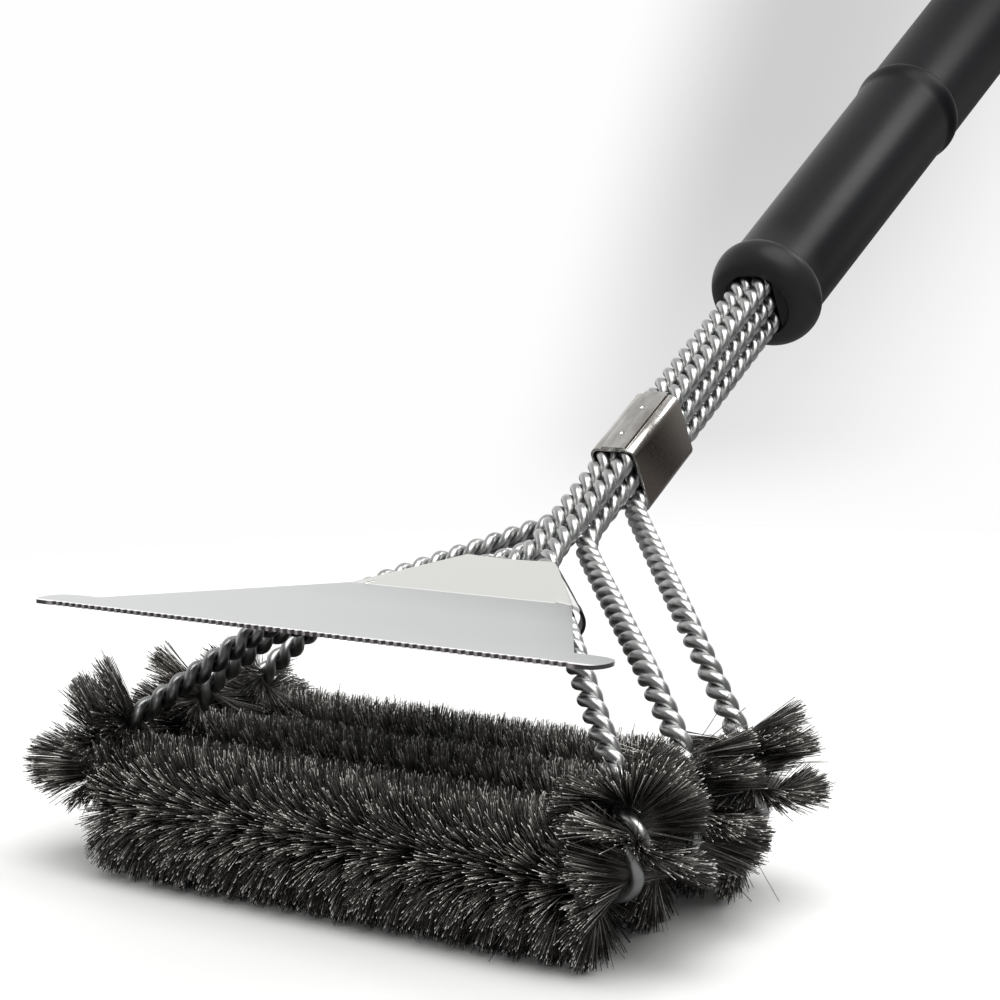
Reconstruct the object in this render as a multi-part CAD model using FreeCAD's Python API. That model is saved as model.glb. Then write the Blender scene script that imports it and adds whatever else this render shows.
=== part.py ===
import FreeCAD, Part
import math
import os
from FreeCAD import Vector as V

# Grill cleaning brush: three loops of twisted steel wire that carry three
# rows of wire bristles, a folded sheet scraper, a sheet clip round the six
# strands, and a two-section moulded handle.  Millimetres, +Z up, the bristle
# tips stand on z = 0, X runs along the rows, +Y runs towards the handle.

# ---------------------------------------------------------------- dimensions
WIRE_D = 3.0              # one steel wire
STRAND_D = 2 * WIRE_D     # two wires twisted together
ROW_HALF = 74.5           # half the length of a row, centre of the end bends
ROW_PITCH = 29.5          # spacing of the three rows
CORE_Z = 16.7             # height of the twisted core over the bristle tips
TILT = 29.52              # handle's slope above the horizontal, degrees
AXIS_Y, AXIS_Z = 91.27, 87.28   # bundle axis at the lower edge of the clip
PITCH = 6.10              # spacing of the strands in the bundle
END_T = 138.0             # how far the strands run up the axis

# the arms of each loop: layer in the bundle, place where it leaves the
# bundle, upper bend, lower bend (right-hand side; the left is its mirror)
LOOPS = {
    "front": dict(layer=1, leave=-45.5, knee=(42.6, -0.7, 60.3), ankle=(78.0, -31.3, 28.2), y=-ROW_PITCH),
    "middle": dict(layer=0, leave=-28.0, knee=(55.4, 12.0, 52.8), ankle=(72.0, 0.6, 36.9), y=0.0),
    "rear": dict(layer=-1, leave=-2.6, knee=(50.4, 38.9, 60.1), ankle=(75.2, 23.8, 33.4), y=ROW_PITCH),
}
BRISTLE_R = 17.2          # reach of the bristles from the core
ARM_BRISTLE_R = 15.5      # reach of the bristles on the arms
ROW_BRUSH_HALF = 64.0     # half length of the straight part of a row's fill
ARM_BRUSH = {"front": 14.0, "middle": 3.0, "rear": 7.0}  # fill above the lower bend
CORE_CLEAR = 3.15         # radius of the channel that the strand fills
ROW_GAP = 0.2             # clear space kept between neighbouring rows

# scraper
SHEET = 0.9
FOLD_Y, FOLD_Z, FOLD_HALF = 14.9, 66.5, 32.5     # underside of the sheet at the fold
WEB_Y, WEB_Z, WEB_HALF = 38.7, 72.1, 13.2         # underside at the upper edge
EDGE_Y, EDGE_Z = -49.0, 67.4                      # underside at the scraping edge
EAR_Y, EAR_HALF = -38.2, 66.4
TIP_HALF = 78.6
TOOTH = 2.05
TOOTH_DEPTH = 0.8
TAB_W = 5.0
CURL_R = 4.75           # outer radius of the curl that hooks round the front arms
CURL_OUT, CURL_UP = 0.6, -0.65   # its centre, measured from the arm's centre line
CURL_TOP, CURL_FOLD = 1.9, 4.1   # how far out the curl reaches at the upper edge and at the fold

# clip
CLIP_LEN = 26.8
CLIP_WALL = 0.8
CLIP_HALF_X, CLIP_HALF_N = 6.2, 9.2

# handle, distances along the axis
COLLAR_T, COLLAR_LEN, COLLAR_R = 89.1, 11.0, 17.1
GRIP_R0, GRIP_R1 = 15.2, 16.4
RING_T = 204.8
RING_LEN, RING_R = 8.5, 17.4
END_R0, END_R = 16.6, 17.3
HANDLE_T = 312.0
HANG_R, HANG_BACK, HANG_THICK = 5.0, 15.0, 16.0
WALL = 2.6

SIN, COS = math.sin(math.radians(TILT)), math.cos(math.radians(TILT))
H = V(0, COS, SIN)        # up the handle
N = V(0, -SIN, COS)       # across it, upper side
X = V(1, 0, 0)
BASE = V(0, AXIS_Y, AXIS_Z)


def at(t, x=0.0, n=0.0):
    return BASE + H * t + X * x + N * n


# ------------------------------------------------------------ strand centres
def loop_points(spec):
    n = spec["layer"] * PITCH
    return [
        V(0, spec["y"], CORE_Z),
        V(ROW_HALF, spec["y"], CORE_Z),
        V(*spec["ankle"]),
        V(*spec["knee"]),
        at(spec["leave"], PITCH / 2, n),
        at(END_T, PITCH / 2, n),
    ]


def loop_radii(name):
    return {"front": [0, 6.6, 7.4, 45, 22, 0], "middle": [0, 7.0, 24, 30, 22, 0], "rear": [0, 7.0, 16, 45, 22, 0]}[name]


def pieces_of(points, radii):
    """Straight runs joined by tangent arcs: ('line', a, b) and ('arc', a, centre, axis, angle, b)."""
    out = []
    start = points[0]
    for i in range(1, len(points)):
        if i == len(points) - 1:
            out.append(("line", start, points[i]))
            break
        p, r = points[i], radii[i]
        u = (p - points[i - 1]).normalize()
        w = (points[i + 1] - p).normalize()
        turn = math.acos(max(-1, min(1, u.dot(w))))
        tl = r * math.tan(turn / 2)
        a, b = p - u * tl, p + w * tl
        axis = u.cross(w).normalize()
        centre = a + axis.cross(u) * r
        if (a - start).dot(u) < 0.01:
            raise ValueError("bend %d too large by %.2f" % (i, -(a - start).dot(u)))
        out.append(("line", start, a))
        out.append(("arc", a, centre, axis, turn, b))
        start = b
    return out


def rotated(vec, axis, angle):
    return FreeCAD.Rotation(axis, math.degrees(angle)).multVec(vec)


def chain(path, offset, side, radius):
    """A round bar that follows the path at a fixed distance to one side of it."""
    solids = []
    w = side
    for seg in path:
        if seg[0] == "line":
            a, b = seg[1], seg[2]
            d = (b - a)
            solids.append(Part.makeCylinder(radius, d.Length, a + w * offset, d))
        else:
            _, a, centre, axis, turn, b = seg
            u = axis.cross(a - centre).normalize()
            disc = Part.Face(Part.Wire(Part.makeCircle(radius, a + w * offset, u)))
            solids.append(disc.revolve(centre, axis, math.degrees(turn)))
            w = rotated(w, axis, turn)
    bar = solids[0]
    for s in solids[1:]:
        bar = bar.fuse(s)
    return bar


def mirrored(shape):
    return shape.mirror(V(0, 0, 0), X)


def one_solid(shape, label):
    shape = shape.removeSplitter()
    sols = shape.Solids
    if len(sols) != 1:
        print("NOTE", label, "has", len(sols), "solids", [round(s.Volume, 1) for s in sols])
    return sols[0] if len(sols) == 1 else shape


parts = {}
paths = {}
for name, spec in LOOPS.items():
    path = pieces_of(loop_points(spec), loop_radii(name))
    paths[name] = path
    length = sum((s[2] - s[1]).Length if s[0] == "line" else (s[1] - s[2]).Length * s[4] for s in path)
    for tag, off in (("a", WIRE_D / 2), ("b", -WIRE_D / 2)):
        half = chain(path, off, V(0, 0, 1), WIRE_D / 2)
        wire = one_solid(half.fuse(mirrored(half)), name)
        parts["%s_loop_wire_%s" % (name, tag)] = wire
        print(name, tag, "length", round(2 * length, 1), "volume ratio",
              round(wire.Volume / (2 * length * math.pi * WIRE_D ** 2 / 4), 4))

# ------------------------------------------------------------------ bristles
channels = {}
for name, path in paths.items():
    half = chain(path, 0.0, V(0, 0, 1), CORE_CLEAR)
    channels[name] = half.fuse(mirrored(half))

for name, spec in LOOPS.items():
    y = spec["y"]
    low = y - ROW_PITCH / 2 + ROW_GAP / 2 if name != "front" else y - 40
    high = y + ROW_PITCH / 2 - ROW_GAP / 2 if name != "rear" else y + 40
    cell = Part.makeBox(300, high - low, 100, V(-150, low, 0))
    row = Part.makeCylinder(BRISTLE_R, 2 * ROW_BRUSH_HALF, V(-ROW_BRUSH_HALF, y, CORE_Z), X)
    row = row.common(cell).cut(channels[name])
    parts["%s_row_bristles" % name] = one_solid(row, name + " row")
    # the fill that follows the strand round the corner and up the arm
    corner = V(ROW_HALF, y, CORE_Z)
    ankle = V(*spec["ankle"])
    knee = V(*spec["knee"])
    up = (knee - ankle).normalize()
    body = Part.makeCylinder(ARM_BRISTLE_R, (ankle - corner).Length, corner, ankle - corner)
    body = body.fuse(Part.makeSphere(ARM_BRISTLE_R, ankle))
    body = body.fuse(Part.makeCylinder(ARM_BRISTLE_R, ARM_BRUSH[name], ankle, up))
    body = body.fuse(Part.makeSphere(BRISTLE_R, corner))
    keep = Part.makeBox(120, high - low, 110, V(ROW_BRUSH_HALF + 0.2, low, 0))
    above = Part.makeBox(60, high - low, 60, V(ROW_BRUSH_HALF - 50, low, CORE_Z + BRISTLE_R + 0.6))
    body = body.common(keep.fuse(above))
    for other in channels.values():
        body = body.cut(other)
    body = one_solid(body, name + " arm")
    if len(body.Solids) > 1:
        body = max(body.Solids, key=lambda s: s.Volume)
    parts["%s_right_arm_bristles" % name] = body
    parts["%s_left_arm_bristles" % name] = mirrored(body)

# ------------------------------------------------------------------- scraper
def plate(points, origin, along, normal, thick):
    """Flat plate: points are (x, distance along the slope)."""
    vs = [origin + X * px + along * q for px, q in points]
    vs.append(vs[0])
    return Part.Face(Part.makePolygon(vs)).extrude(normal * thick)


blade_dir = V(0, EDGE_Y - FOLD_Y, EDGE_Z - FOLD_Z)
blade_len = blade_dir.Length
blade_dir.normalize()
blade_n = X.cross(blade_dir)
if blade_n.z < 0:
    blade_n = blade_n * -1
web_dir = V(0, WEB_Y - FOLD_Y, WEB_Z - FOLD_Z)
web_len = web_dir.Length
web_dir.normalize()
web_n = X.cross(web_dir)
if web_n.z < 0:
    web_n = web_n * -1
fold = V(0, FOLD_Y, FOLD_Z)

ear_q = blade_len * (FOLD_Y - EAR_Y) / (FOLD_Y - EDGE_Y)
right = [(FOLD_HALF, 0.0), (EAR_HALF, ear_q)]
# the ear: a rounded tongue at the end of the scraping edge
for k in range(1, 6):
    a = math.radians(18 * k)
    right.append((EAR_HALF + (TIP_HALF - 3.0 - EAR_HALF) * math.sin(a), ear_q + 1.2 * (1 - math.cos(a))))
for k in range(1, 9):
    a = math.radians(-90 + 22.5 * k)
    mid = (ear_q + 1.2 + blade_len) / 2
    half = (blade_len - ear_q - 1.2) / 2
    right.append((TIP_HALF - 3.0 + 3.0 * math.cos(a), mid + half * math.sin(a)))
edge = []
n_teeth = int(2 * (TIP_HALF - 6.0) / TOOTH)
x0 = n_teeth * TOOTH / 2
for k in range(n_teeth):
    edge.append((x0 - k * TOOTH, blade_len))
    edge.append((x0 - (k + 0.5) * TOOTH, blade_len - TOOTH_DEPTH))
edge.append((-x0, blade_len))
left = [(-x, q) for x, q in reversed(right)]
outline = right + edge + left
blade = plate(outline, fold, blade_dir, blade_n, SHEET)
# upper facet; its top edge dips slightly where it meets the strands
web_pts = [(-FOLD_HALF, 0.0), (FOLD_HALF, 0.0), (WEB_HALF, web_len)]
for k in range(1, 8):
    xx = WEB_HALF - 2 * WEB_HALF * k / 8
    web_pts.append((xx, web_len - 0.9 * math.cos(math.pi * xx / (2 * WEB_HALF))))
web_pts.append((-WEB_HALF, web_len))
web = plate(web_pts, fold, web_dir, web_n, SHEET)
# the bend between the two facets
seam = Part.Face(Part.makePolygon([fold + X * -FOLD_HALF, fold + X * -FOLD_HALF + blade_n * SHEET,
                                   fold + X * -FOLD_HALF + web_n * SHEET, fold + X * -FOLD_HALF])).extrude(X * 2 * FOLD_HALF)
scraper = blade.fuse(web).fuse(seam)

# the sides curl down round the front loop's arms: a narrow roll at the upper
# edge that widens towards the fold and ends there in a hooked tab
spec = LOOPS["front"]
knee, leave = V(*spec["knee"]), at(spec["leave"], PITCH / 2, spec["layer"] * PITCH)
arm = (knee - leave).normalize()
out_dir = arm.cross(V(0, 0, 1)).normalize()
if out_dir.x < 0:
    out_dir = out_dir * -1
up_dir = out_dir.cross(arm).normalize()
if up_dir.z < 0:
    up_dir = up_dir * -1


def arm_at(y):
    return leave + arm * ((y - leave.y) / arm.y)


def in_arm_frame(shape, origin):
    shape.transformShape(FreeCAD.Matrix(out_dir.x, arm.x, up_dir.x, origin.x, out_dir.y, arm.y, up_dir.y, origin.y,
                                        out_dir.z, arm.z, up_dir.z, origin.z, 0, 0, 0, 1))
    return shape


def roll(origin, length):
    c = origin + out_dir * CURL_OUT + up_dir * CURL_UP
    return Part.makeCylinder(CURL_R, length, c, arm).cut(Part.makeCylinder(CURL_R - SHEET + 0.1, length + 2, c - arm, arm))


top_c = arm_at(WEB_Y - 0.6)
tab_c = arm_at(FOLD_Y + 1.6) - arm * (TAB_W / 2)
run = (tab_c - top_c).Length
outline = Part.makePolygon([V(-1.2, 0, 0.6), V(CURL_TOP, 0, 0.6), V(CURL_FOLD, run + 0.4, 0.6), V(-1.2, run + 0.4, 0.6), V(-1.2, 0, 0.6)])
wedge = in_arm_frame(Part.Face(outline).extrude(V(0, 0, 6)), top_c)
curl = roll(top_c, run + 0.4).common(wedge)
half_space = in_arm_frame(Part.makeBox(30, 30, 30, V(0.3, -15, -15)), tab_c)
tab = roll(tab_c, TAB_W).common(half_space)
tab = tab.fuse(in_arm_frame(Part.makeBox(2.4, TAB_W, SHEET - 0.1, V(-1.6, 0, CURL_R + CURL_UP - SHEET + 0.1)), tab_c))
tab = tab.fuse(curl)
for wire in ("front_loop_wire_a", "front_loop_wire_b"):
    tab = tab.cut(parts[wire])
scraper = scraper.fuse(tab).fuse(mirrored(tab))
parts["scraper_plate"] = one_solid(scraper, "scraper")

# ---------------------------------------------------------------------- clip
def rounded_bar(hx, hn, r, length, t0):
    """Bar of rounded rectangular section along the handle axis."""
    def pt(x, n):
        return at(t0, x, n)
    k = r * (1 - math.sqrt(0.5))
    edges = [
        Part.makeLine(pt(-hx + r, -hn), pt(hx - r, -hn)),
        Part.Arc(pt(hx - r, -hn), pt(hx - k, -hn + k), pt(hx, -hn + r)).toShape(),
        Part.makeLine(pt(hx, -hn + r), pt(hx, hn - r)),
        Part.Arc(pt(hx, hn - r), pt(hx - k, hn - k), pt(hx - r, hn)).toShape(),
        Part.makeLine(pt(hx - r, hn), pt(-hx + r, hn)),
        Part.Arc(pt(-hx + r, hn), pt(-hx + k, hn - k), pt(-hx, hn - r)).toShape(),
        Part.makeLine(pt(-hx, hn - r), pt(-hx, -hn + r)),
        Part.Arc(pt(-hx, -hn + r), pt(-hx + k, -hn + k), pt(-hx + r, -hn)).toShape(),
    ]
    return Part.Face(Part.Wire(edges)).extrude(H * length)


def boxed(x0, x1, t0, t1, n0, n1):
    b = Part.makeBox(x1 - x0, t1 - t0, n1 - n0)
    mm = FreeCAD.Matrix(1, 0, 0, x0, 0, H.y, N.y, 0, 0, H.z, N.z, 0, 0, 0, 0, 1)
    o = at(t0, 0, n0)
    mm.A24, mm.A34 = o.y, o.z
    b.transformShape(mm)
    return b


outer = rounded_bar(CLIP_HALF_X + CLIP_WALL, CLIP_HALF_N + CLIP_WALL, 2.8, CLIP_LEN, 0.0)
inner = rounded_bar(CLIP_HALF_X, CLIP_HALF_N, 2.0, CLIP_LEN + 4, -2.0)
clip = outer.cut(inner)
lap = boxed(-2.9, 4.4, 0.0, CLIP_LEN, CLIP_HALF_N + CLIP_WALL - 0.05, CLIP_HALF_N + 2 * CLIP_WALL - 0.05)
clip = clip.fuse(lap)
for t in (CLIP_LEN * 0.24, CLIP_LEN * 0.70):
    c = at(t, 0.6, CLIP_HALF_N + 2 * CLIP_WALL + 1.2)
    clip = clip.cut(Part.makeSphere(1.6, c))
# the seam beside the lap
clip = clip.cut(boxed(-3.35, -2.9, -1.0, CLIP_LEN + 1.0, CLIP_HALF_N + 0.3, CLIP_HALF_N + CLIP_WALL + 0.5))
parts["bundle_clip"] = one_solid(clip, "clip")

# -------------------------------------------------------------------- handle
def turned(profile):
    """Solid of revolution about the handle axis; profile is (t, radius), closed on the axis side."""
    pts = [at(t, 0, r) for t, r in profile]
    pts.append(pts[0])
    return Part.Face(Part.makePolygon(pts)).revolve(BASE, H, 360)


# collar: rounded rim, spigot that enters the grip, one opening for the bundle
prof = [(COLLAR_T + 0.9, 0.0), (COLLAR_T + 0.9, 9.6), (COLLAR_T, 10.4)]
for i in range(13):       # domed rim
    a = math.radians(7.5 * i)
    prof.append((COLLAR_T + 8.0 * (1 - math.cos(a)), 10.4 + (COLLAR_R - 10.4) * math.sin(a)))
for i in range(1, 7):     # short shoulder down to the grip
    a = math.radians(15 * i)
    prof.append((COLLAR_T + 8.0 + (COLLAR_LEN - 8.0) * math.sin(a), GRIP_R0 + (COLLAR_R - GRIP_R0) * math.cos(a)))
prof += [(COLLAR_T + COLLAR_LEN, GRIP_R0 - WALL - 0.05), (COLLAR_T + COLLAR_LEN + 9.0, GRIP_R0 - WALL - 0.05),
         (COLLAR_T + COLLAR_LEN + 9.0, 0.0)]
collar = turned(prof)
collar = collar.cut(rounded_bar(CLIP_HALF_X + 0.05, CLIP_HALF_N + 0.05, 2.6, 40.0, COLLAR_T - 2))
parts["handle_collar"] = one_solid(collar, "collar")

# lower grip: hollow, slightly tapered
g0, g1 = COLLAR_T + COLLAR_LEN, RING_T
grip = turned([(g0, GRIP_R0 - WALL), (g0, GRIP_R0)] +
              [(g1 - 1.2, GRIP_R1), (g1 - 1.2, GRIP_R1 - 1.3), (g1 + 10.0, GRIP_R1 - 1.3), (g1 + 10.0, GRIP_R0 - WALL)])
parts["handle_grip"] = one_solid(grip, "grip")

# potting core that holds the six strand ends inside the grip
core = turned([(COLLAR_T + COLLAR_LEN + 9.0, 0.0), (COLLAR_T + COLLAR_LEN + 9.0, GRIP_R0 - WALL - 0.05),
               (END_T + 2.0, GRIP_R0 - WALL - 0.05), (END_T + 2.0, 0.0)])
for sx in (-1, 1):
    for layer in (-1, 0, 1):
        core = core.cut(Part.makeCylinder(STRAND_D / 2 + 0.02, END_T - 100 + 0.0, at(100.0, sx * PITCH / 2, layer * PITCH), H))
parts["strand_core"] = one_solid(core, "core")

# upper section: ring, barrel, flattened eye with a hanging hole
b0 = RING_T - 1.2
prof = [(b0, GRIP_R1 - 1.25), (b0, GRIP_R1)]
for i in range(1, 8):     # low swelling that ends in a crease
    u = i / 7
    prof.append((b0 + (RING_LEN - 1.8) * u, GRIP_R1 + (RING_R - GRIP_R1) * (0.5 - 0.5 * math.cos(math.pi * u))))
for i in range(1, 5):
    a = math.radians(22.5 * i)
    prof.append((b0 + RING_LEN - 1.8 + 1.8 * math.sin(a), END_R0 + (RING_R - END_R0) * math.cos(a)))
tail = HANDLE_T
prof += [(tail - 34, END_R)]
prof += [(tail - 26, END_R - 0.35), (tail - 17, END_R - 1.6), (tail - 10, END_R - 3.9), (tail - 5, END_R - 7.0), (tail - 1.8, END_R - 10.6), (tail, END_R - 15.2), (tail, 0.0)]
prof += [(tail - 64, 0.0), (tail - 64, GRIP_R1 - 6.5), (tail - 70, GRIP_R1 - 1.25)]
end = turned(prof)
flat = HANG_THICK / 2
ramp_r = 26.0
for sx in (-1, 1):
    cutter = boxed(min(sx * flat, sx * 40), max(sx * flat, sx * 40), tail - 24, tail + 10, -40, 40)
    ramp = Part.makeCylinder(ramp_r, 90, at(tail - 24, sx * (flat + ramp_r), -45), N)
    end = end.cut(cutter.fuse(ramp))
end = end.cut(Part.makeCylinder(HANG_R, 80, at(tail - HANG_BACK, -40, 0), X))
parts["handle_end"] = one_solid(end, "end")

# ------------------------------------------------------------ place and write
boxes = [s.BoundBox for s in parts.values()]
y_lo, y_hi = min(b.YMin for b in boxes), max(b.YMax for b in boxes)
x_lo, x_hi = min(b.XMin for b in boxes), max(b.XMax for b in boxes)
z_lo, z_hi = min(b.ZMin for b in boxes), max(b.ZMax for b in boxes)
print("extent x %.3f %.3f y %.3f %.3f z %.3f %.3f  centre y %.4f" % (x_lo, x_hi, y_lo, y_hi, z_lo, z_hi, (y_lo + y_hi) / 2))
SHIFT_Y = -(y_lo + y_hi) / 2   # the origin is under the middle of the whole length
hole = at(HANDLE_T - HANG_BACK, 0, 0) + V(0, SHIFT_Y, 0)
print("shift y %.4f  hanging hole %.4f %.4f %.4f" % (SHIFT_Y, hole.x, hole.y, hole.z))

os.makedirs("parts", exist_ok=True)
for node, shape in parts.items():
    shape = shape.copy()
    shape.translate(V(0, SHIFT_Y, 0))
    if not shape.isValid():
        print("NOT VALID", node)
    shape.exportStep("parts/%s.step" % node)
    print("%-26s solids %d volume %.1f" % (node, len(shape.Solids), shape.Volume))
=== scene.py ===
import math

import bpy
import numpy as np
from mathutils import Matrix, Vector


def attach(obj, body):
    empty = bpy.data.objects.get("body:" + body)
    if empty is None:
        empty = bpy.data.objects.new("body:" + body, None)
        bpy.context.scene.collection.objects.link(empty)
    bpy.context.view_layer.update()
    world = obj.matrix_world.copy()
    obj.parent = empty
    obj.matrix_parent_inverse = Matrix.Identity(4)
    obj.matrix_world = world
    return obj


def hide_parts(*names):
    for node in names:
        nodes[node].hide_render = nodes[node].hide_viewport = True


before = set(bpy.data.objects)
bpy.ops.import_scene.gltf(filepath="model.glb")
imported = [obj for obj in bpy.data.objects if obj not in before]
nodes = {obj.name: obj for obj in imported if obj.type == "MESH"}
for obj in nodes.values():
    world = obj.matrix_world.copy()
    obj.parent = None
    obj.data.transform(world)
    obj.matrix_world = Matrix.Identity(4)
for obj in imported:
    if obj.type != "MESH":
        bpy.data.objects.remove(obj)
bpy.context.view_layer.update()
scene = bpy.context.scene

# --------------------------------------------------------------- dimensions
# the same numbers as the CAD, in millimetres before the shift to the row frame
MM = 0.001
SHIFT_Y = -157.7511
WIRE_R = 1.5
ROW_HALF, ROW_PITCH, CORE_Z = 74.5, 29.5, 16.7
TILT = math.radians(29.52)
AXIS_Y, AXIS_Z = 91.27, 87.28
PITCH = 6.10
END_T = 138.0
H = np.array([0.0, math.cos(TILT), math.sin(TILT)])
N = np.array([0.0, -math.sin(TILT), math.cos(TILT)])
X = np.array([1.0, 0.0, 0.0])
BASE = np.array([0.0, AXIS_Y, AXIS_Z])
LOOPS = {
    "front": dict(layer=1, leave=-45.5, knee=(42.6, -0.7, 60.3), ankle=(78.0, -31.3, 28.2), y=-ROW_PITCH,
                  radii=[0, 6.6, 7.4, 45, 22, 0], fill=14.0, seed=11),
    "middle": dict(layer=0, leave=-28.0, knee=(55.4, 12.0, 52.8), ankle=(72.0, 0.6, 36.9), y=0.0,
                   radii=[0, 7.0, 24, 30, 22, 0], fill=3.0, seed=23),
    "rear": dict(layer=-1, leave=-2.6, knee=(50.4, 38.9, 60.1), ankle=(75.2, 23.8, 33.4), y=ROW_PITCH,
                 radii=[0, 7.0, 16, 45, 22, 0], fill=7.0, seed=37),
}
ARM_LAY = 10.2            # length of one full turn of the twist on the arms
ROW_LAY = 15.6            # and along the rows, where the fill holds the wires apart
BRISTLE_REACH = 17.2
ARM_REACH = 16.2
BRISTLE_R = 0.095
PER_MM = 185              # half bristles for each millimetre of core


def at(t, x=0.0, n=0.0):
    return BASE + H * t + X * x + N * n


def to_row(points):
    """Millimetres of the drawing to metres of the row frame."""
    p = np.array(points, float)
    p[..., 1] += SHIFT_Y
    return p * MM


# ------------------------------------------------------------- strand lines
def turn_about(v, axis, angle):
    c, s = math.cos(angle), math.sin(angle)
    return v * c + np.cross(axis, v) * s + axis * (axis @ v) * (1 - c)


def half_line(spec, step=0.25):
    n = spec["layer"] * PITCH
    pts = [np.array([0, spec["y"], CORE_Z]), np.array([ROW_HALF, spec["y"], CORE_Z]), np.array(spec["ankle"], float),
           np.array(spec["knee"], float), at(spec["leave"], PITCH / 2, n), at(END_T, PITCH / 2, n)]
    out, marks = [pts[0]], []
    start = pts[0]

    def line_to(b):
        a = out[-1]
        k = max(1, int(np.linalg.norm(b - a) / step))
        for i in range(1, k + 1):
            out.append(a + (b - a) * i / k)

    for i in range(1, len(pts)):
        if i == len(pts) - 1:
            line_to(pts[i])
            break
        p, r = pts[i], spec["radii"][i]
        u = (p - pts[i - 1]) / np.linalg.norm(p - pts[i - 1])
        w = (pts[i + 1] - p) / np.linalg.norm(pts[i + 1] - p)
        turn = math.acos(max(-1, min(1, u @ w)))
        tl = r * math.tan(turn / 2)
        axis = np.cross(u, w)
        axis /= np.linalg.norm(axis)
        a = p - u * tl
        line_to(a)
        marks.append(len(out) - 1)
        centre = a + np.cross(axis, u) * r
        k = max(3, int(r * turn / step))
        for j in range(1, k + 1):
            out.append(centre + turn_about(a - centre, axis, turn * j / k))
        marks.append(len(out) - 1)
    return np.array(out), marks


class Strand:
    """A strand's centre line, evenly sampled, with frames that don't spin, and its twist."""

    def __init__(self, name, spec):
        self.name, self.spec = name, spec
        half, marks = half_line(spec)
        d = np.linalg.norm(np.diff(half, axis=0), axis=1)
        cum = np.concatenate([[0], np.cumsum(d)])
        self.S = cum[-1]
        self.corner = (cum[marks[0]] + cum[marks[1]]) / 2
        self.ankle = (cum[marks[2]] + cum[marks[3]]) / 2
        self.fill = self.ankle + spec["fill"]
        self.s = np.arange(0, self.S, 0.2)
        self.s = np.append(self.s, self.S)
        p = np.stack([np.interp(self.s, cum, half[:, k]) for k in range(3)], 1)
        t = np.gradient(p, self.s, axis=0)
        t /= np.linalg.norm(t, axis=1)[:, None]
        u = np.zeros_like(p)
        u[0] = (0, 0, 1)
        for i in range(len(p) - 1):      # double reflection
            v1 = p[i + 1] - p[i]
            c1 = v1 @ v1
            rl = u[i] - (2 / c1) * (v1 @ u[i]) * v1
            tl = t[i] - (2 / c1) * (v1 @ t[i]) * v1
            v2 = t[i + 1] - tl
            c2 = v2 @ v2
            u[i + 1] = rl - (2 / c2) * (v2 @ rl) * v2 if c2 > 1e-12 else rl
        u -= (u * t).sum(1)[:, None] * t
        u /= np.linalg.norm(u, axis=1)[:, None]
        self.p, self.t, self.u, self.v = p, t, u, np.cross(t, u)
        # lay of the twist: longer where there is fill, and slack round the tight corner
        lay = ROW_LAY + (ARM_LAY - ROW_LAY) * np.clip((self.s - self.fill + 5) / 10, 0, 1)
        slack = np.exp(-((self.s - self.corner) / 6.0) ** 2)
        rate = 2 * math.pi / lay * (1 - 0.85 * slack)
        phi = np.concatenate([[0], np.cumsum((rate[1:] + rate[:-1]) / 2 * np.diff(self.s))])
        at_corner = np.interp(self.corner, self.s, phi)
        self.phi = phi - at_corner
        self.rate = rate

    def look(self, s):
        """Centre, tangent, u, v and twist angle at signed length s from the middle of the row (arrays)."""
        a = np.abs(s)
        sign = np.where(s < 0, -1.0, 1.0)
        f = lambda arr: np.stack([np.interp(a, self.s, arr[:, k]) for k in range(3)], 1)
        p, t, u, v = f(self.p), f(self.t), f(self.u), f(self.v)
        m = np.array([-1.0, 1.0, 1.0])
        neg = (sign < 0)[:, None]
        p = np.where(neg, p * m, p)
        t = np.where(neg, -t * m, t)     # keeps running from the left end to the right end
        u = np.where(neg, u * m, u)
        v = np.cross(t, u)
        k = self.spec.get("phase", 0.0)
        zero = self.phi[0]
        # left-handed lay: the angle falls as s grows, without a jump at the middle
        ang = -(np.interp(a, self.s, self.phi) - zero) * sign + math.pi / 2 + (-zero) + k
        return p, t, u, v, ang


# ------------------------------------------------------------- mesh helpers
def build_mesh(name, co, loops, starts, smooth=True):
    me = bpy.data.meshes.new(name)
    me.vertices.add(len(co))
    me.vertices.foreach_set("co", np.asarray(co, np.float32).ravel())
    me.loops.add(len(loops))
    me.loops.foreach_set("vertex_index", np.asarray(loops, np.int32))
    me.polygons.add(len(starts))
    me.polygons.foreach_set("loop_start", np.asarray(starts, np.int32))
    me.update(calc_edges=True)
    me.validate()
    me.polygons.foreach_set("use_smooth", np.full(len(me.polygons), smooth))
    me.update()
    ob = bpy.data.objects.new(name, me)
    scene.collection.objects.link(ob)
    return ob


def tube(name, centre, tangent, side, radius, sides):
    """Closed tube along centre; side is a unit vector across it at every ring."""
    n = len(centre)
    tangent = tangent / np.linalg.norm(tangent, axis=1)[:, None]
    e1 = side - (side * tangent).sum(1)[:, None] * tangent
    e1 /= np.linalg.norm(e1, axis=1)[:, None]
    e2 = np.cross(tangent, e1)
    a = np.arange(sides) * 2 * math.pi / sides
    co = centre[:, None, :] + radius * (np.cos(a)[None, :, None] * e1[:, None, :] + np.sin(a)[None, :, None] * e2[:, None, :])
    co = co.reshape(-1, 3)
    i = np.arange(n - 1)[:, None] * sides
    j = np.arange(sides)[None, :]
    k = (j + 1) % sides
    quads = np.stack([i + j, i + k, i + sides + k, i + sides + j], -1).reshape(-1, 4)
    loops = quads.ravel()
    starts = np.arange(len(quads)) * 4
    cap0 = np.arange(sides)[::-1]
    cap1 = (n - 1) * sides + np.arange(sides)
    loops = np.concatenate([loops, cap0, cap1])
    starts = np.concatenate([starts, [len(quads) * 4, len(quads) * 4 + sides]])
    return build_mesh(name, to_row(co), loops, starts)


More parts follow.
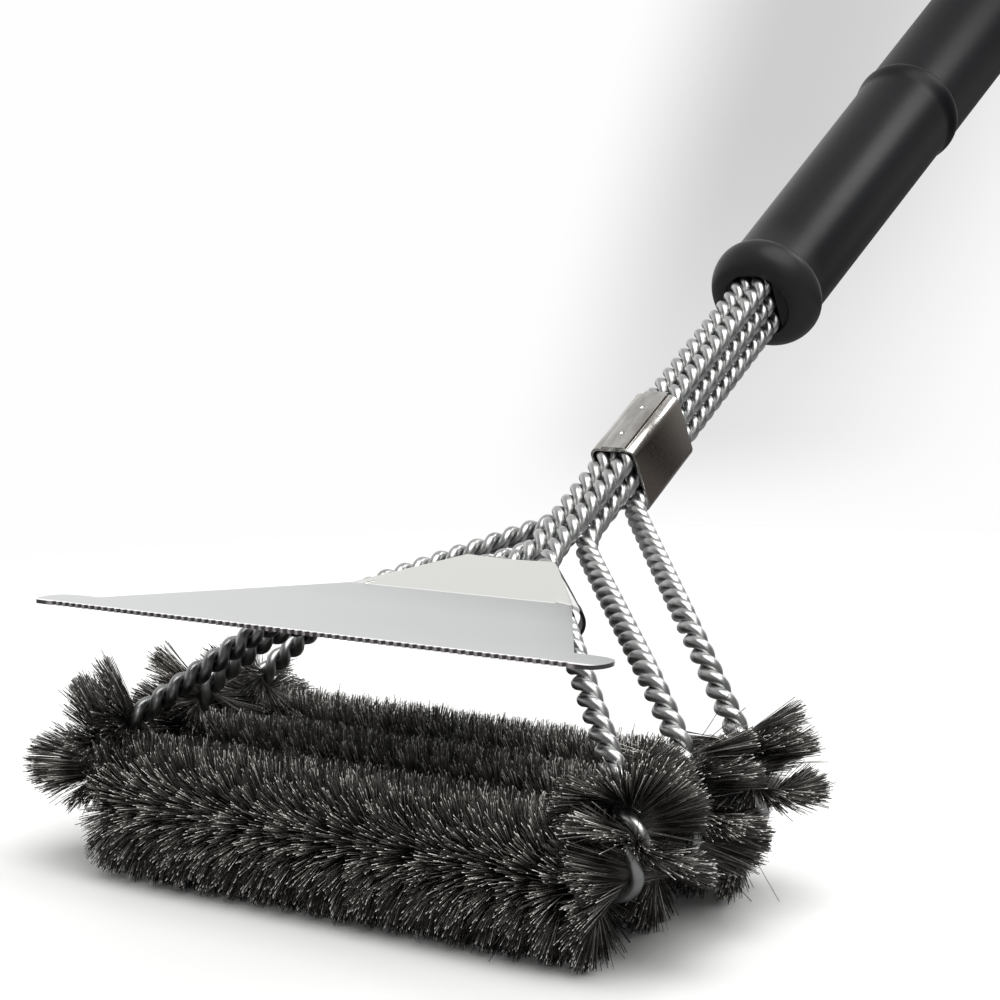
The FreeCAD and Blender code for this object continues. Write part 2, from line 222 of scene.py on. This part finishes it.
# ------------------------------------------------------------ material helpers
def new_material(name):
    m = bpy.data.materials.new(name)
    m.use_nodes = True
    nt = m.node_tree
    for n in list(nt.nodes):
        nt.nodes.remove(n)
    out = nt.nodes.new("ShaderNodeOutputMaterial")
    bs = nt.nodes.new("ShaderNodeBsdfPrincipled")
    nt.links.new(bs.outputs["BSDF"], out.inputs["Surface"])
    return m, nt, bs


def node(nt, kind, **values):
    n = nt.nodes.new(kind)
    for k, v in values.items():
        if k.startswith("in_"):
            n.inputs[k[3:].replace("_", " ")].default_value = v
        else:
            setattr(n, k, v)
    return n


def object_coords(nt):
    return nt.nodes.new("ShaderNodeTexCoord").outputs["Object"]


def noise(nt, coords, scale, detail=3.0, rough=0.5, stretch=None, rotate=None):
    if stretch is not None or rotate is not None:
        mp = nt.nodes.new("ShaderNodeMapping")
        if stretch is not None:
            mp.inputs["Scale"].default_value = stretch
        if rotate is not None:
            mp.inputs["Rotation"].default_value = rotate
        nt.links.new(coords, mp.inputs["Vector"])
        coords = mp.outputs["Vector"]
    n = nt.nodes.new("ShaderNodeTexNoise")
    n.inputs["Scale"].default_value = scale
    n.inputs["Detail"].default_value = detail
    n.inputs["Roughness"].default_value = rough
    nt.links.new(coords, n.inputs["Vector"])
    return n.outputs["Fac"]


def ramp(nt, fac, stops):
    r = nt.nodes.new("ShaderNodeValToRGB")
    while len(r.color_ramp.elements) > 1:
        r.color_ramp.elements.remove(r.color_ramp.elements[-1])
    first = True
    for pos, col in stops:
        c = (col, col, col, 1) if isinstance(col, (int, float)) else (*col, 1)
        if first:
            e = r.color_ramp.elements[0]
            e.position = pos
            first = False
        else:
            e = r.color_ramp.elements.new(pos)
        e.color = c
    nt.links.new(fac, r.inputs["Fac"])
    return r.outputs["Color"]


def mix(nt, fac, a, b, blend="MIX"):
    m = nt.nodes.new("ShaderNodeMix")
    m.data_type = "RGBA"
    m.blend_type = blend
    for sock, val in ((m.inputs[0], fac), (m.inputs[6], a), (m.inputs[7], b)):
        if isinstance(val, (int, float)):
            sock.default_value = val if sock.type == "VALUE" else (val, val, val, 1)
        elif isinstance(val, tuple):
            sock.default_value = (*val, 1) if len(val) == 3 else val
        else:
            nt.links.new(val, sock)
    return m.outputs[2]


def bump(nt, height, strength, distance):
    b = nt.nodes.new("ShaderNodeBump")
    b.inputs["Strength"].default_value = strength
    b.inputs["Distance"].default_value = distance
    nt.links.new(height, b.inputs["Height"])
    return b.outputs["Normal"]


# ---------------------------------------------------------------- materials
def wire_material():
    m, nt, bs = new_material("galvanised_wire")
    co = object_coords(nt)
    blotch = noise(nt, co, 260, 3, 0.6)
    fine = noise(nt, co, 1800, 2, 0.6)
    base = ramp(nt, blotch, [(0.32, (0.50, 0.51, 0.505)), (0.68, (0.67, 0.675, 0.665))])
    base = mix(nt, 0.18, base, ramp(nt, fine, [(0.35, 0.35), (0.7, 0.9)]), "MULTIPLY")
    # painted shade: darker low on the left arms, where the blade's shadow falls on them
    pos = nt.nodes.new("ShaderNodeSeparateXYZ")
    nt.links.new(co, pos.inputs[0])
    painted_shade = math_node(nt, "MULTIPLY", span(nt, pos.outputs["X"], 0.010, -0.020), span(nt, pos.outputs["Z"], 0.064, 0.050))
    base = mix(nt, math_node(nt, "MULTIPLY", painted_shade, 0.48), base, (0.10, 0.105, 0.105))
    nt.links.new(base, bs.inputs["Base Color"])
    bs.inputs["Metallic"].default_value = 1.0
    nt.links.new(ramp(nt, blotch, [(0.3, 0.27), (0.7, 0.37)]), bs.inputs["Roughness"])
    nt.links.new(bump(nt, fine, 0.25, 0.00005), bs.inputs["Normal"])
    return m


def bristle_material():
    m, nt, bs = new_material("bristle_wire")
    tone = node(nt, "ShaderNodeAttribute", attribute_name="tone")
    along = node(nt, "ShaderNodeAttribute", attribute_name="along")
    body = ramp(nt, tone.outputs["Fac"], [(0.0, (0.010, 0.0094, 0.0088)), (0.32, (0.034, 0.0315, 0.029)), (0.52, (0.092, 0.085, 0.077)), (0.70, (0.24, 0.225, 0.205)), (0.86, (0.50, 0.48, 0.45)), (1.0, (0.85, 0.83, 0.80))])
    # painted highlights: lighter near the roots, where the wires leave the twist, and white glints on some of the cut
    # ends
    root = ramp(nt, along.outputs["Fac"], [(0.0, 0.85), (0.22, 0.25), (0.40, 0.0)])
    body = mix(nt, root, body, (0.50, 0.49, 0.47))
    cut = ramp(nt, along.outputs["Fac"], [(0.955, 0.0), (0.975, 1.0)])
    picked = ramp(nt, tone.outputs["Fac"], [(0.62, 0.0), (0.67, 1.0)])
    painted_glint = mix(nt, 1.0, cut, picked, "MULTIPLY")
    tipped = mix(nt, painted_glint, body, (0.95, 0.93, 0.88))
    nt.links.new(tipped, bs.inputs["Base Color"])
    nt.links.new(ramp(nt, painted_glint, [(0.0, 0.65), (1.0, 0.0)]), bs.inputs["Metallic"])
    bs.inputs["Roughness"].default_value = 0.34
    return m


def math_node(nt, op, a, b=0.0):
    n = nt.nodes.new("ShaderNodeMath")
    n.operation = op
    for sock, val in zip(n.inputs, (a, b)):
        if isinstance(val, (int, float)):
            sock.default_value = val
        else:
            nt.links.new(val, sock)
    return n.outputs[0]


def span(nt, value, low, high, v0=0.0, v1=1.0):
    """v0 at low, v1 at high, straight in between and held outside."""
    n = nt.nodes.new("ShaderNodeMapRange")
    nt.links.new(value, n.inputs["Value"])
    for k, v in (("From Min", low), ("From Max", high), ("To Min", v0), ("To Max", v1)):
        n.inputs[k].default_value = v
    return n.outputs["Result"]


CURL_SLOPE = 0.083        # the curl reaches out 2.55 mm more over the 30.6 mm of its length


def scraper_material():
    m, nt, bs = new_material("scraper_sheet")
    co = object_coords(nt)
    grain = noise(nt, co, 1400, 2, 0.6, stretch=(0.05, 1.0, 1.0))
    pos = nt.nodes.new("ShaderNodeSeparateXYZ")
    nt.links.new(co, pos.inputs[0])
    px, py = pos.outputs["X"], pos.outputs["Y"]
    geo = nt.nodes.new("ShaderNodeNewGeometry")
    sep = nt.nodes.new("ShaderNodeSeparateXYZ")
    nt.links.new(geo.outputs["Normal"], sep.inputs[0])
    nx, ny, nz = sep.outputs["X"], sep.outputs["Y"], sep.outputs["Z"]
    fold = (14.9 + SHIFT_Y) * MM
    edge = (-49.0 + SHIFT_Y) * MM
    # the blade is a cool grey with painted shading: darkest under the fold and paler to the left and the front
    v = span(nt, py, fold, edge)
    cool = ramp(nt, v, [(0.0, (0.435, 0.447, 0.455)), (0.12, (0.475, 0.487, 0.493)), (0.40, (0.575, 0.586, 0.589)),
                        (0.75, (0.605, 0.614, 0.615)), (1.0, (0.655, 0.662, 0.660))])
    pale = span(nt, px, 0.055, -0.078, 0.04, 0.80)
    cool = mix(nt, pale, cool, (0.80, 0.81, 0.81))
    # painted light: the upper facet, above the fold, is lighter and warmer than the blade, for how it catches the light
    web = span(nt, py, fold - 0.00005, fold + 0.00005)
    base = mix(nt, web, cool, (0.885, 0.892, 0.848))
    base = mix(nt, 0.05, base, ramp(nt, grain, [(0.3, 0.7), (0.7, 1.0)]), "MULTIPLY")
    # painted highlights: the crest of the fold, the front lip, the edges of the sheet and the top of the curls
    off = math_node(nt, "ABSOLUTE", math_node(nt, "SUBTRACT", py, fold))
    crest = math_node(nt, "MULTIPLY", span(nt, off, 0.00022, 0.00036, 1.0, 0.0), 0.55)
    lip = math_node(nt, "MULTIPLY", span(nt, py, edge + 0.0017, edge + 0.0011), span(nt, nz, 0.6, 0.8))
    side = math_node(nt, "MULTIPLY", span(nt, nx, 0.45, 0.7), span(nt, py, fold + 0.0004, fold - 0.0004))
    side = math_node(nt, "MULTIPLY", side, span(nt, py, edge + 0.007, edge + 0.008))
    # how far out over the curled side a point is, across the line where the flat facet ends,
    # and how far down along it
    ax = math_node(nt, "ABSOLUTE", px)
    out = math_node(nt, "ADD", math_node(nt, "MULTIPLY", math_node(nt, "SUBTRACT", ax, 0.0325), 0.777),
                    math_node(nt, "MULTIPLY", math_node(nt, "SUBTRACT", py, fold), 0.630))
    down = math_node(nt, "SUBTRACT", math_node(nt, "MULTIPLY", math_node(nt, "SUBTRACT", ax, 0.0132), 0.630),
                     math_node(nt, "MULTIPLY", math_node(nt, "SUBTRACT", py, (38.7 + SHIFT_Y) * MM), 0.777))
    rim = math_node(nt, "ADD", math_node(nt, "MULTIPLY", down, CURL_SLOPE), 0.00030 - 0.00092)
    above = span(nt, py, fold, fold + 0.0003)
    above = math_node(nt, "MULTIPLY", above, span(nt, px, 0.0, 0.001))
    rolled = math_node(nt, "MULTIPLY", span(nt, out, 0.0001, 0.0006), above)
    bright = math_node(nt, "MAXIMUM", math_node(nt, "MAXIMUM", crest, lip), math_node(nt, "MAXIMUM", side, math_node(nt, "MULTIPLY", rolled, 0.8)))
    base = mix(nt, bright, base, (0.93, 0.935, 0.93))
    # painted shade: dark on the cut faces along the front, the right-hand hollows of the teeth and the rim of the curls
    cut = math_node(nt, "MAXIMUM", span(nt, ny, -0.35, -0.55), span(nt, nx, 0.30, 0.50))
    front = math_node(nt, "MULTIPLY", cut, span(nt, py, edge + 0.007, edge + 0.006))
    hollow = math_node(nt, "MULTIPLY", span(nt, nx, 0.30, 0.50), span(nt, py, edge + 0.00020, edge + 0.00034))
    # painted shade: the hollows of the teeth and the ends of the edge take the darker of the two shades
    tooth_shade = math_node(nt, "SUBTRACT", 1.0, math_node(nt, "MULTIPLY", span(nt, ax, 0.0735, 0.0725), math_node(nt, "SUBTRACT", 1.0, hollow)))
    shade = mix(nt, tooth_shade, (0.28, 0.26, 0.27), (0.045, 0.040, 0.042))
    base = mix(nt, front, base, shade)
    curl = math_node(nt, "MULTIPLY", span(nt, math_node(nt, "SUBTRACT", out, rim), 0.0, 0.0001), above)
    base = mix(nt, curl, base, (0.012, 0.011, 0.011))
    dark = math_node(nt, "MAXIMUM", front, curl)
    nt.links.new(base, bs.inputs["Base Color"])
    plain = math_node(nt, "MAXIMUM", bright, dark)
    nt.links.new(math_node(nt, "SUBTRACT", 1.0, plain), bs.inputs["Metallic"])
    nt.links.new(ramp(nt, grain, [(0.3, 0.30), (0.7, 0.36)]), bs.inputs["Roughness"])
    return m


def clip_material():
    m, nt, bs = new_material("clip_sheet")
    co = object_coords(nt)
    streak = noise(nt, co, 160, 3, 0.6, stretch=(1.0, 0.35, 0.35))
    grain = noise(nt, co, 900, 3, 0.7, stretch=(0.15, 1.0, 1.0))
    base = ramp(nt, streak, [(0.34, (0.42, 0.40, 0.375)), (0.5, (0.62, 0.60, 0.57)), (0.66, (0.78, 0.765, 0.74))])
    base = mix(nt, 0.12, base, ramp(nt, grain, [(0.3, 0.5), (0.7, 1.0)]), "MULTIPLY")
    # painted shade: the flanks are darkened and browned, for the shade of the bundle and the dark surroundings they
    # reflect
    geo = nt.nodes.new("ShaderNodeNewGeometry")
    sep = nt.nodes.new("ShaderNodeSeparateXYZ")
    nt.links.new(geo.outputs["Normal"], sep.inputs[0])
    flank = nt.nodes.new("ShaderNodeMath")
    flank.operation = "ABSOLUTE"
    nt.links.new(sep.outputs["X"], flank.inputs[0])
    base = mix(nt, ramp(nt, flank.outputs[0], [(0.80, 0.0), (0.97, 1.0)]), base, (0.190, 0.162, 0.140))
    nt.links.new(base, bs.inputs["Base Color"])
    bs.inputs["Metallic"].default_value = 1.0
    nt.links.new(ramp(nt, grain, [(0.3, 0.18), (0.7, 0.30)]), bs.inputs["Roughness"])
    nt.links.new(bump(nt, grain, 0.10, 0.00004), bs.inputs["Normal"])
    return m


def handle_material():
    m, nt, bs = new_material("handle_plastic")
    co = object_coords(nt)
    fine = noise(nt, co, 1500, 3, 0.6)
    cloud = noise(nt, co, 45, 3, 0.5)
    base = ramp(nt, cloud, [(0.3, (0.0032, 0.0032, 0.0044)), (0.7, (0.0048, 0.0048, 0.0064))])
    # the collar is a little greyer; the surface is duller towards the hanging end
    pos = nt.nodes.new("ShaderNodeSeparateXYZ")
    nt.links.new(co, pos.inputs[0])
    base = mix(nt, span(nt, pos.outputs["Y"], 0.024, 0.014), base, (0.021, 0.021, 0.0225))
    nt.links.new(base, bs.inputs["Base Color"])
    dull = span(nt, pos.outputs["Y"], 0.070, 0.165)
    rough = ramp(nt, fine, [(0.3, 0.32), (0.7, 0.40)])
    nt.links.new(mix(nt, dull, rough, 0.46), bs.inputs["Roughness"])
    nt.links.new(span(nt, pos.outputs["Y"], 0.060, 0.165, 0.195, 0.10), bs.inputs["Specular IOR Level"])
    nt.links.new(bump(nt, fine, 0.12, 0.00006), bs.inputs["Normal"])
    return m


def core_material():
    m, nt, bs = new_material("core_plastic")
    co = object_coords(nt)
    cloud = noise(nt, co, 120, 3, 0.5)
    nt.links.new(ramp(nt, cloud, [(0.3, 0.05), (0.7, 0.09)]), bs.inputs["Base Color"])
    bs.inputs["Roughness"].default_value = 0.6
    return m


def floor_material():
    m, nt, bs = new_material("floor_white")
    co = object_coords(nt)
    cloud = noise(nt, co, 1.5, 2, 0.5)
    nt.links.new(ramp(nt, cloud, [(0.3, (0.93, 0.93, 0.925)), (0.7, (0.96, 0.96, 0.955))]), bs.inputs["Base Color"])
    bs.inputs["Roughness"].default_value = 0.7
    bs.inputs["Specular IOR Level"].default_value = 0.2
    # seen in the metal the table is a dimmer grey than it is by eye
    dim = nt.nodes.new("ShaderNodeBsdfDiffuse")
    dim.inputs["Color"].default_value = (0.24, 0.24, 0.245, 1)
    lp = nt.nodes.new("ShaderNodeLightPath")
    mx = nt.nodes.new("ShaderNodeMixShader")
    nt.links.new(lp.outputs["Is Glossy Ray"], mx.inputs[0])
    nt.links.new(bs.outputs["BSDF"], mx.inputs[1])
    nt.links.new(dim.outputs["BSDF"], mx.inputs[2])
    out = [n for n in nt.nodes if n.type == "OUTPUT_MATERIAL"][0]
    nt.links.new(mx.outputs[0], out.inputs["Surface"])
    return m


MAT = {
    "wire": wire_material(),
    "bristle": bristle_material(),
    "sheet": scraper_material(),
    "clip": clip_material(),
    "handle": handle_material(),
    "core": core_material(),
    "floor": floor_material(),
}

# -------------------------------------------------------------------- wires
strands = {}
LOOPS["front"]["phase"] = 1.6
LOOPS["middle"]["phase"] = 0.9
LOOPS["rear"]["phase"] = 2.1
for name, spec in LOOPS.items():
    strands[name] = Strand(name, spec)

for name, st in strands.items():
    step = 0.46
    count = int(2 * st.S / step)
    s = np.linspace(-st.S, st.S, count)
    p, t, u, v, ang = st.look(s)
    for tag, off in (("a", 0.0), ("b", math.pi)):
        w = np.cos(ang + off)[:, None] * u + np.sin(ang + off)[:, None] * v
        c = p + w * WIRE_R
        tan = np.gradient(c, axis=0)
        ob = tube("%s_wire_%s" % (name, tag), c, tan, w, WIRE_R * 0.985, 14)
        ob.data.materials.append(MAT["wire"])
        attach(ob, "root")
        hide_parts("%s_loop_wire_%s" % (name, tag))


# ----------------------------------------------------------------- bristles
def bristle_mesh(name, base, direction, side_bend, length, radius, tone):
    """Many thin closed three-sided wires in one mesh: root, a middle ring and tip."""
    n = len(base)
    d = direction
    ref = np.where(np.abs(d[:, 2:3]) < 0.8, np.array([[0, 0, 1.0]]), np.array([[1.0, 0, 0]]))
    e1 = np.cross(d, ref)
    e1 /= np.linalg.norm(e1, axis=1)[:, None]
    e2 = np.cross(d, e1)
    fr = np.array([0.0, 0.5, 1.0])
    rings = []
    for f in fr:
        c = base + d * (length * f)[:, None] + side_bend * (f * f)
        # wires that would reach below the floor bend away and lie along it
        low = c[:, 2] < 0.14
        sink = np.where(low, 0.14 - c[:, 2], 0.0)
        flat = d[:, :2] / (np.linalg.norm(d[:, :2], axis=1)[:, None] + 1e-6)
        c[:, :2] += flat * (sink * 0.9)[:, None]
        c[:, 2] = np.where(low, 0.14 + 0.05 * tone, c[:, 2])
        rings.append(c)
    ang = np.array([0, 2.0944, 4.18879])
    co = np.zeros((n, 3, 3, 3))
    for k, c in enumerate(rings):
        for j in range(3):
            co[:, k, j] = c + radius * (math.cos(ang[j]) * e1 + math.sin(ang[j]) * e2)
    co[:, :, :, 2] = np.maximum(co[:, :, :, 2], 0.02)
    co = co.reshape(-1, 3)
    quad = []
    for k in range(2):
        for j in range(3):
            j2 = (j + 1) % 3
            quad.append([k * 3 + j, k * 3 + j2, (k + 1) * 3 + j2, (k + 1) * 3 + j])
    quad = np.array(quad)
    tri = np.array([[2, 1, 0], [6, 7, 8]])
    per = np.concatenate([quad.ravel(), tri.ravel()])
    starts1 = np.concatenate([np.arange(6) * 4, 24 + np.arange(2) * 3])
    off = np.arange(n)[:, None]
    loops = (per[None, :] + off * 9).ravel()
    starts = (starts1[None, :] + off * len(per)).ravel()
    ob = build_mesh(name, to_row(co), loops, starts)
    me = ob.data
    a = me.attributes.new("tone", "FLOAT", "POINT")
    a.data.foreach_set("value", np.repeat(tone, 9).astype(np.float32))
    a = me.attributes.new("along", "FLOAT", "POINT")
    a.data.foreach_set("value", np.tile(np.repeat(fr, 3), n).astype(np.float32))
    # every wire has its own small cell in the texture space
    side = int(math.ceil(math.sqrt(n)))
    cell = 1.0 / side
    gx, gy = (np.arange(n) % side) * cell, (np.arange(n) // side) * cell
    lu = np.array([0.1, 0.9, 0.9, 0.1] * 6 + [0.1, 0.5, 0.9, 0.1, 0.5, 0.9])
    lv = []
    for k in range(2):
        for j in range(3):
            lv += [fr[k], fr[k], fr[k + 1], fr[k + 1]]
    lv += [0, 0, 0, 1, 1, 1]
    lv = 0.1 + 0.8 * np.array(lv)
    uv = np.stack([(gx[:, None] + lu[None, :] * cell), (gy[:, None] + lv[None, :] * cell)], -1)
    layer = me.uv_layers.new(name="OFBake")
    layer.data.foreach_set("uv", uv.astype(np.float32).ravel())
    me.materials.append(MAT["bristle"])
    return ob


def fill_of(name, st):
    rng = np.random.default_rng(st.spec["seed"])
    per = PER_MM
    total = int(2 * st.fill * per)
    per_clump = 5
    clumps = total // per_clump
    cs = rng.uniform(-st.fill, st.fill, clumps)
    cside = rng.choice([-1.0, 1.0], clumps)
    cang = rng.normal(0, math.radians(7.0), clumps)
    clean = rng.normal(0, math.radians(5.5), clumps)
    idx = np.repeat(np.arange(clumps), per_clump)
    n = len(idx)
    s = cs[idx] + rng.normal(0, 0.22, n)
    s = np.clip(s, -st.fill, st.fill)
    side = cside[idx]
    on_arm = np.clip((np.abs(s) - st.corner + 7) / 6, 0, 1)
    tight = 1.0 - 0.45 * on_arm
    a_j = (cang[idx] + rng.normal(0, math.radians(4.0), n)) * tight
    l_j = (clean[idx] + rng.normal(0, math.radians(3.6), n)) * (0.5 + 0.5 * tight)
    # round the corner and up the arm the tips of each half turn close up into a separate fan
    p, t, u, v, ang = st.look(s)
    q = np.mod(ang / math.pi, 1.0)
    half = math.pi / np.interp(np.abs(s), st.s, st.rate)
    shift = -(0.5 - q) * np.minimum(half, 8.0)
    l_j = l_j + np.arctan2(shift, ARM_REACH) * 0.58 * on_arm
    stray = rng.random(n) < 0.006
    a_j = np.where(stray, a_j + rng.normal(0, 0.35, n), a_j)
    l_j = np.where(stray, l_j + rng.normal(0, 0.35, n), l_j)
    th = ang + side * math.pi / 2 + a_j
    out = np.cos(th)[:, None] * u + np.sin(th)[:, None] * v
    d = out * np.cos(l_j)[:, None] + t * np.sin(l_j)[:, None]
    # the gap between the two wires runs with the lay, so the roots are spread along it
    base = p + out * 0.9
    reach = BRISTLE_REACH + (ARM_REACH - BRISTLE_REACH) * on_arm
    length = (reach - 0.9) * (1.03 + rng.normal(0, 0.035, n) - 0.24 * (rng.random(n) ** 3))
    length = np.where(stray, length * rng.uniform(0.95, 1.18, n), length)
    bend_dir = rng.normal(0, 1, (n, 3))
    bend_dir -= (bend_dir * d).sum(1)[:, None] * d
    bend = bend_dir * 0.45
    tone = np.clip(rng.beta(2.0, 3.2, n) + 0.06 + np.where(rng.random(n) < 0.05, 0.5, 0.0), 0, 1)
    return s, base, d, bend, length, tone


for name, st in strands.items():
    s, base, d, bend, length, tone = fill_of(name, st)
    xb = base[:, 0]
    groups = {
        "row_fill_left": (np.abs(xb) <= 64) & (xb < 0),
        "row_fill_right": (np.abs(xb) <= 64) & (xb >= 0),
        "arm_fill_left": (np.abs(xb) > 64) & (xb < 0) | ((s < -st.corner)),
        "arm_fill_right": (np.abs(xb) > 64) & (xb > 0) | ((s > st.corner)),
    }
    groups["row_fill_left"] &= ~groups["arm_fill_left"]
    groups["row_fill_right"] &= ~groups["arm_fill_right"]
    for label, pick in groups.items():
        if not pick.any():
            continue
        ob = bristle_mesh("%s_%s" % (name, label), base[pick], d[pick], bend[pick], length[pick], BRISTLE_R, tone[pick])
        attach(ob, "root")
        if label.startswith("row"):
            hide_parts("%s_row_bristles" % name)
        else:
            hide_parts("%s_%s_arm_bristles" % (name, label.split("_")[-1]))

# ----------------------------------------------------------- carried CAD nodes
CAD_MATERIAL = {"scraper_plate": "sheet", "bundle_clip": "clip", "handle_collar": "handle", "handle_grip": "handle",
                "handle_end": "handle", "strand_core": "core"}
for cad, mat in CAD_MATERIAL.items():
    ob = nodes[cad]
    me = ob.data
    me.materials.clear()
    me.materials.append(MAT[mat])
    for poly in me.polygons:
        poly.material_index = 0
    for poly in me.polygons:
        poly.use_smooth = True
    if "custom_normal" in me.attributes:
        me.attributes.remove(me.attributes["custom_normal"])
    w = ob.modifiers.new("weld", "WELD")
    w.merge_threshold = 0.000002
    if cad in ("scraper_plate", "bundle_clip"):
        b = ob.modifiers.new("round", "BEVEL")
        b.width = 0.00012
        b.segments = 2
        b.limit_method = "ANGLE"
        b.angle_limit = math.radians(40)
        b.use_clamp_overlap = True
    e = ob.modifiers.new("split", "EDGE_SPLIT")
    e.split_angle = math.radians(11 if cad == "scraper_plate" else 32)

# ---------------------------------------------------------------- the studio
bpy.ops.mesh.primitive_circle_add(vertices=96, radius=0.50, fill_type="NGON", location=(0, 0, -0.0002))
floor = bpy.context.object
floor.name = "floor"
floor.data.materials.append(MAT["floor"])

cam_pos = Vector((0.30665, -0.42159 + SHIFT_Y * MM, 0.15468))
yaw, pitch, roll = math.radians(33.966), math.radians(6.930), math.radians(-0.404)
fwd = Vector((-math.sin(yaw) * math.cos(pitch), math.cos(yaw) * math.cos(pitch), -math.sin(pitch)))
right = Vector((math.cos(yaw), math.sin(yaw), 0))
up = right.cross(fwd)
r2 = right * math.cos(roll) + up * math.sin(roll)
u2 = -right * math.sin(roll) + up * math.cos(roll)
cam_data = bpy.data.cameras.new("camera")
cam_data.lens = 80.886
cam_data.sensor_width = 36
cam_data.sensor_fit = "HORIZONTAL"
cam_data.clip_start = 0.01
cam_data.clip_end = 50
cam = bpy.data.objects.new("camera", cam_data)
scene.collection.objects.link(cam)
m = Matrix.Identity(4)
for i in range(3):
    m[i][0], m[i][1], m[i][2], m[i][3] = r2[i], u2[i], -fwd[i], cam_pos[i]
cam.matrix_world = m
scene.camera = cam


def area(name, loc, target, size, power, color=(1, 1, 1), size_y=None):
    d = bpy.data.lights.new(name, "AREA")
    d.energy = power
    d.color = color
    d.size = size
    if size_y:
        d.shape = "RECTANGLE"
        d.size_y = size_y
    o = bpy.data.objects.new(name, d)
    scene.collection.objects.link(o)
    o.location = loc
    o.visible_camera = False
    o.rotation_euler = (Vector(target) - Vector(loc)).to_track_quat("-Z", "Y").to_euler()
    return o


def sun(name, toward, angle, strength, color=(1, 1, 1)):
    d = bpy.data.lights.new(name, "SUN")
    d.energy = strength
    d.color = color
    d.angle = math.radians(angle)
    o = bpy.data.objects.new(name, d)
    scene.collection.objects.link(o)
    o.rotation_euler = Vector(toward).to_track_quat("-Z", "Y").to_euler()
    return o


# a broad overhead bank, as wide as a studio ceiling panel
sun("overhead", (-0.42, 0.30, -1.0), 58, 2.75, (1.0, 1.0, 0.99))
area("back_right", (0.246, 0.346, 0.588), (0, 0.03, 0.145), 0.22, 0.80, (1, 1, 1), 0.22)
area("front", (0.95, -1.10, 0.60), (0, -0.10, 0.08), 0.35, 0.7, (1.0, 0.995, 0.985), 0.35)

world = bpy.data.worlds.new("studio")
scene.world = world
world.use_nodes = True
wt = world.node_tree
for n in list(wt.nodes):
    wt.nodes.remove(n)
w_out = wt.nodes.new("ShaderNodeOutputWorld")
direction = wt.nodes.new("ShaderNodeTexCoord").outputs["Generated"]


def facing(vector, low, high, v0, v1):
    """v0 where the direction's dot product with vector is below low, v1 above high."""
    d = wt.nodes.new("ShaderNodeVectorMath")
    d.operation = "DOT_PRODUCT"
    wt.links.new(direction, d.inputs[0])
    d.inputs[1].default_value = Vector(vector).normalized()
    r = wt.nodes.new("ShaderNodeMapRange")
    r.interpolation_type = "SMOOTHSTEP"
    wt.links.new(d.outputs["Value"], r.inputs["Value"])
    for k, v in (("From Min", low), ("From Max", high), ("To Min", v0), ("To Max", v1)):
        r.inputs[k].default_value = v
    return r.outputs["Result"]


def join(op, a, b):
    mth = wt.nodes.new("ShaderNodeMath")
    mth.operation = op
    for sock, val in zip(mth.inputs, (a, b)):
        if isinstance(val, (int, float)):
            sock.default_value = val
        else:
            wt.links.new(val, sock)
    return mth.outputs[0]


# what the object is lit by: a pale wall behind it, a dimmer room in front of it,
# dark below the level of the table's far edge
BACK = (-0.809, 0.588, 0.15)
room = join("ADD", facing(BACK, -0.3, 0.75, 0.18, 0.92), facing((0, 0, 1), 0.55, 0.95, 0.0, 0.10))
room = join("MULTIPLY", room, facing((0, 0, 1), -0.12, 0.07, 0.18, 1.0))
room = join("MULTIPLY", room, facing((0, 0, 1), 0.40, 0.80, 1.0, 0.62))
bg = wt.nodes.new("ShaderNodeBackground")
wt.links.new(room, bg.inputs["Strength"])
bg.inputs["Color"].default_value = (1.0, 1.0, 1.0, 1)
# what shows behind it: the same wall, white, with a painted shadow, a soft grey fall-off behind the handle


def toward(px, py):
    """World direction through a point of the picture plane, 1000 units wide."""
    k = cam_data.lens / 36.0 * 1000.0
    return (fwd * k + r2 * (px - 500) + u2 * (500 - py)).normalized()


band = toward(816, 0).cross(toward(683, 400)).normalized()
along = toward(683, 400)
side = join("MULTIPLY", facing(band, -0.150, -0.004, 0.0, 1.0), facing(band, 0.006, 0.078, 1.0, 0.0))
fade = join("ADD", facing((0, 0, 1), -0.135, -0.085, 0.0, 0.6), facing((0, 0, 1), -0.09, 0.05, 0.0, 0.4))
grey = join("MULTIPLY", join("MULTIPLY", side, fade), 0.38)
wall_level = join("SUBTRACT", 1.0, grey)
wall = wt.nodes.new("ShaderNodeBackground")
wall.inputs["Color"].default_value = (1.0, 0.992, 1.0, 1)
wt.links.new(wall_level, wall.inputs["Strength"])
lp = wt.nodes.new("ShaderNodeLightPath")
mx = wt.nodes.new("ShaderNodeMixShader")
wt.links.new(lp.outputs["Is Camera Ray"], mx.inputs[0])
wt.links.new(bg.outputs[0], mx.inputs[1])
wt.links.new(wall.outputs[0], mx.inputs[2])
wt.links.new(mx.outputs[0], w_out.inputs["Surface"])

scene.view_settings.view_transform = "Standard"
